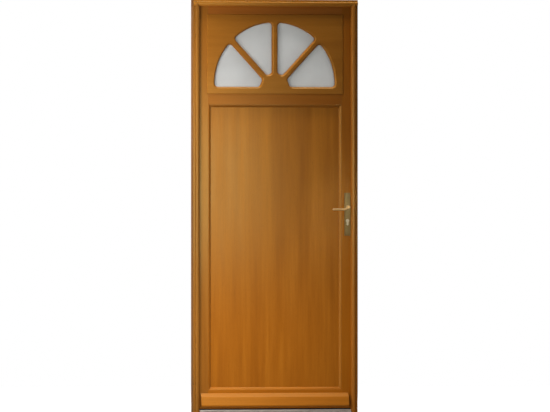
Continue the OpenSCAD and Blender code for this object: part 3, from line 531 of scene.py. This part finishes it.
def lever_stations(reach, tip_x):
    """Centre, sideways direction, half depth and half height of each section, from the root to the tip."""
    straight = reach - ELBOW_R
    for share in NECK_SHARES:
        yield Vector((0, -straight * share, 0)), Vector((1, 0, 0)), NECK_R, NECK_R
    for k in range(ELBOW_STEPS + 1):
        turn = math.pi / 2 * k / ELBOW_STEPS
        side = Vector((math.cos(turn), -math.sin(turn), 0))
        centre = Vector((-ELBOW_R, -straight, 0)) + side * ELBOW_R
        drop, depth, height = grip_section(centre.x, tip_x)
        share = eased(k / ELBOW_STEPS)
        centre.z = -drop
        yield centre, side, NECK_R + (depth - NECK_R) * share, NECK_R + (height - NECK_R) * share
    for k in range(1, GRIP_STEPS + 1):
        along = math.sin(math.pi / 2 * k / GRIP_STEPS)
        x = -ELBOW_R + (tip_x + ELBOW_R) * along
        drop, depth, height = grip_section(x, tip_x)
        yield Vector((x, -reach, -drop)), Vector((0, -1, 0)), depth, height


def smooth_lever(node, mirror_y=None):
    """One lever as a sweep: a round neck, an elbow and a grip that drops and tapers."""
    low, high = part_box("outer_lever")
    spindle_low, spindle_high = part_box("spindle")
    axis = (spindle_low + spindle_high) / 2
    root = Vector((axis.x, high.y, axis.z))
    reach = high.y - low.y - GRIP_HALF_D * ROOT_SCALE
    mesh = bmesh.new()
    rings = []
    for centre, side, depth, height in lever_stations(reach, low.x - axis.x):
        ring = []
        for j in range(LEVER_SIDES):
            angle = 2 * math.pi * j / LEVER_SIDES
            point = root + centre + side * depth * math.cos(angle)
            point.z += height * math.sin(angle)
            if mirror_y is not None:
                point.y = 2 * mirror_y - point.y
            ring.append(mesh.verts.new(point))
        rings.append(ring)
    for ring, after in zip(rings, rings[1:]):
        for j in range(LEVER_SIDES):
            m = (j + 1) % LEVER_SIDES
            mesh.faces.new((ring[j], ring[m], after[m], after[j])).smooth = True
    mesh.faces.new(rings[0])
    mesh.faces.new(rings[-1]).smooth = True
    bmesh.ops.recalc_face_normals(mesh, faces=mesh.faces)
    for edge in mesh.edges:
        edge.smooth = edge.calc_face_angle(0) < LEVER_CREASE
    add_piece(node + "_swept", mesh, node, "lever")


for panel in ("fan_panel_outer", "fan_panel_inner"):
    smooth_panel(panel, "leaf")

MIDDLE_Y = (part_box("outer_lever")[0].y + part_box("inner_lever")[1].y) / 2
smooth_lever("outer_lever")
smooth_lever("inner_lever", MIDDLE_Y)


# Stage, light and camera

WHITE = (1, 1, 1, 1)
FLOOR_R = 6.0
FLOOR_SIDES = 96
FLOOR_NOISE = (3, 3)
FLOOR_TONE = 0.90
FLOOR_PALE_SHARE = 1.03
FLOOR_ROUGHNESS = 0.8
FLOOR_GLOW = 0.97


def floor_material():
    material, tree, shader = new_material("pale_floor")
    speck = noise(tree, object_place(tree), *FLOOR_NOISE)
    tones = ((FLOOR_TONE,) * 3, (FLOOR_TONE * FLOOR_PALE_SHARE,) * 3)
    feed(tree, shader.inputs["Base Color"], ramp(tree, speck, list(zip(NOISE_RANGE, tones))))
    shader.inputs["Roughness"].default_value = FLOOR_ROUGHNESS
    shader.inputs["Emission Color"].default_value = WHITE
    shader.inputs["Emission Strength"].default_value = FLOOR_GLOW
    return material


def make_floor():
    """A round pale floor, which neither lights the door nor shows in its gloss."""
    mesh = bpy.data.meshes.new("floor")
    turns = [2 * math.pi * k / FLOOR_SIDES for k in range(FLOOR_SIDES)]
    rim = [(FLOOR_R * math.cos(turn), FLOOR_R * math.sin(turn), FLOOR_Z) for turn in turns]
    mesh.from_pydata(rim, [], [list(range(FLOOR_SIDES))])
    floor = bpy.data.objects.new("floor", mesh)
    bpy.context.scene.collection.objects.link(floor)
    mesh.materials.append(floor_material())
    floor.visible_diffuse = False
    floor.visible_glossy = False


WORLD_LIGHT = 0.02
WORLD_SHEEN = 0.12


def make_world():
    """White to the camera and through the glass, grey in reflections, and a dim even light otherwise."""
    world = bpy.data.worlds.new("studio")
    bpy.context.scene.world = world
    world.use_nodes = True
    tree = world.node_tree
    tree.nodes.clear()
    rays = add(tree, "ShaderNodeLightPath")
    seen = math_node(
        tree, "MAXIMUM", rays.outputs["Is Camera Ray"], rays.outputs["Is Transmission Ray"]
    )
    mirrored = remap(tree, rays.outputs["Is Glossy Ray"], 0, 1, WORLD_LIGHT, WORLD_SHEEN)
    strength = math_node(tree, "MAXIMUM", seen, mirrored)
    sky = add(tree, "ShaderNodeBackground", {"Color": WHITE, "Strength": strength})
    output = add(tree, "ShaderNodeOutputWorld")
    tree.links.new(sky.outputs["Background"], output.inputs["Surface"])


BOTH = "both"
DIFFUSE = "diffuse"
GLOSS = "gloss"

# Each softbox: its place and target from the foot of the front face, width, height, power, rays and spread
LIGHTS = {
    "key_upper": ((-0.90, -0.55, 1.70), (-0.20, 0.0, 1.3), 0.4, 0.8, 9.1, DIFFUSE, 180),
    "key_lower": ((-1.10, -0.80, 0.50), (-0.10, 0.0, 0.5), 0.5, 0.8, 2.36, DIFFUSE, 90),
    "top": ((0.0, -0.30, 3.60), (0.0, 0.0, 0.6), 2.0, 0.25, 30.2, DIFFUSE, 180),
    "fill_low": ((-0.50, -1.40, 0.15), (-0.10, 0.0, 0.3), 1.0, 0.3, 2.50, DIFFUSE, 80),
    "sheen": ((-0.10, -1.20, 1.20), (-0.30, 0.0, 1.2), 0.3, 0.8, 5.3, GLOSS, 180),
    "sheen_top": ((0.0, -0.30, 3.60), (0.0, 0.0, 0.6), 2.0, 0.25, 27.0, GLOSS, 180),
    "glint": ((0.64, -1.20, 1.02), (0.38, 0.0, 1.02), 0.14, 0.30, 0.12, GLOSS, 180),
    "back_right": ((2.6, 1.8, 1.7), (0.1, 0.0, 1.07), 1.4, 2.0, 75.0, BOTH, 180),
    "back_left": ((-1.6, 2.6, 1.9), (-0.1, 0.0, 1.07), 1.4, 2.0, 75.0, DIFFUSE, 180),
    "back_sheen": ((0.35, 2.4, 1.2), (0.3, 0.0, 1.05), 0.7, 1.2, 2.0, GLOSS, 180),
    "edge_right": ((1.7, -0.30, 1.1), (0.43, 0.0, 1.1), 0.3, 1.8, 5.0, DIFFUSE, 180),
    "glint_side": ((1.09, -1.00, 1.90), (0.36, 0.0, 1.04), 0.2, 0.3, 0.32, GLOSS, 16),
    "sheen_left": ((-1.05, -1.20, 1.20), (-0.30, 0.0, 1.2), 0.3, 0.8, 3.0, GLOSS, 180),
}


def softbox(name, place, target, width, height, power, rays, spread):
    """A rectangular area light, which can be left out of diffuse or of glossy rays."""
    light = bpy.data.lights.new(name, "AREA")
    light.shape = "RECTANGLE"
    light.size = width
    light.size_y = height
    light.energy = power
    light.spread = math.radians(spread)
    lamp = bpy.data.objects.new(name, light)
    bpy.context.scene.collection.objects.link(lamp)
    lamp.location = place
    lamp.rotation_euler = (target - place).to_track_quat("-Z", "Y").to_euler()
    lamp.visible_camera = False
    lamp.visible_diffuse = rays != GLOSS
    lamp.visible_glossy = rays != DIFFUSE
    lamp.visible_transmission = False


def make_lights():
    foot = Vector((0, FRONT_Y, FLOOR_Z))
    for name, (place, target, *settings) in LIGHTS.items():
        softbox(name, foot + Vector(place), foot + Vector(target), *settings)


CAMERA_DISTANCE = 40.0
CAMERA_REACH = 100.0
CAMERA_AZIMUTH = math.radians(-12)
SENSOR_W = 36.0


def make_camera():
    """A level camera far away, which frames the door as the photograph does."""
    data = bpy.data.cameras.new("camera")
    data.sensor_fit = "HORIZONTAL"
    data.sensor_width = SENSOR_W
    data.lens = SENSOR_W * CAMERA_DISTANCE / (IMAGE_W * PIXEL)
    data.clip_end = CAMERA_REACH
    camera = bpy.data.objects.new("camera", data)
    bpy.context.scene.collection.objects.link(camera)
    right = Vector((math.cos(CAMERA_AZIMUTH), math.sin(CAMERA_AZIMUTH), 0))
    back = Vector((math.sin(CAMERA_AZIMUTH), -math.cos(CAMERA_AZIMUTH), 0))
    aim_point = Vector((0, FRONT_Y, FLOOR_Z + (FLOOR_PY - IMAGE_H / 2) * PIXEL))
    aim_point += right * (IMAGE_W / 2 - DOOR_CENTRE_PX) * PIXEL
    camera.location = aim_point + back * CAMERA_DISTANCE
    camera.rotation_euler = (math.pi / 2, 0, CAMERA_AZIMUTH)
    bpy.context.scene.camera = camera


make_floor()
make_world()
make_lights()
make_camera()
bpy.context.scene.view_settings.view_transform = "Standard"
